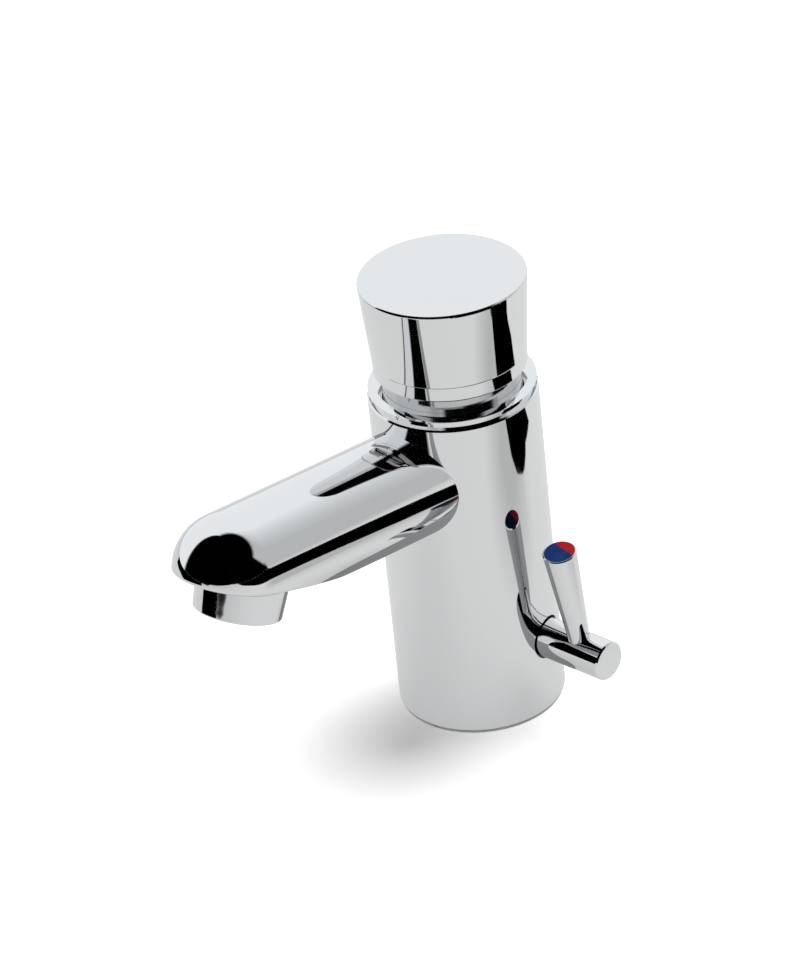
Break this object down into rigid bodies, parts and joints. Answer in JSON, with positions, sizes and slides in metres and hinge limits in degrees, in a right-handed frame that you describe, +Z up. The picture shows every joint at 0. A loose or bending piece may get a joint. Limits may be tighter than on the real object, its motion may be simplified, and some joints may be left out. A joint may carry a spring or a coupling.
{
  "type": "push timed basin tap",
  "caption": "Deck basin tap with a round rising spout, a self closing push button on top and a side lever that sets the temperature.",
  "frame": {"origin": "on the axis of the body at the mounting surface, in the underside of the base", "axes": "+Z up along the body, -Y along the spout, +X along the lever arm"},
  "size_m": [0.0732, 0.1372, 0.1428],
  "materials": {
    "chrome": "bright polished chrome plate",
    "brass": "turned bare brass",
    "steel": "drawn and turned stainless steel",
    "black_rubber": "moulded black rubber",
    "white_plastic": "moulded white plastic",
    "grey_plastic": "moulded grey plastic",
    "ceramic": "lapped ceramic",
    "blue_plastic": "glossy blue inlay",
    "red_plastic": "glossy red inlay"
  },
  "bodies": {
    "tap": {"body": "chrome", "base_seal": "black_rubber", "inlet_manifold": "brass", "manifold_gasket": "black_rubber", "manifold_screws": "steel", "inlet_filters": "white_plastic", "collar_ring": "chrome", "cartridge_housing": "chrome", "cartridge_cap": "brass", "cartridge_seal_lower": "black_rubber", "cartridge_seal_upper": "black_rubber", "stem_bush": "white_plastic", "stem_seal": "black_rubber", "return_spring": "steel", "metering_pin": "steel", "aerator_housing": "chrome", "aerator_insert": "grey_plastic", "aerator_washer": "black_rubber", "spindle_gland": "brass", "gland_seal": "black_rubber", "thrust_washer": "white_plastic", "fixed_disc": "ceramic", "disc_base": "white_plastic", "disc_seals": "black_rubber"},
    "button": {"push_button": "chrome", "button_insert": "white_plastic", "button_screw": "steel", "button_snap_ring": "steel", "stem": "steel", "piston": "white_plastic", "piston_lip_seal": "black_rubber", "stem_circlip": "steel", "valve_head": "brass", "valve_washer": "black_rubber", "valve_nut": "brass"},
    "lever": {"lever_arm": "chrome", "arm_grub_screw": "steel", "temperature_lever": "chrome", "index_blue": "blue_plastic", "index_red": "red_plastic", "mixing_spindle": "brass", "moving_disc": "ceramic"}
  },
  "joints": [
    {"name": "button_push", "type": "slide", "parent": "tap", "child": "button", "axis": [0, 0, -1], "range_m": [0, 0.0044], "stiffness_N_per_m": 1500, "springref_m": -0.012, "deforming": ["return_spring"]},
    {"name": "lever_turn", "type": "hinge", "parent": "tap", "child": "lever", "pos_m": [0, 0.0045, 0.0245], "axis": [1, 0, 0], "range_deg": [-54, 36]}
  ]
}
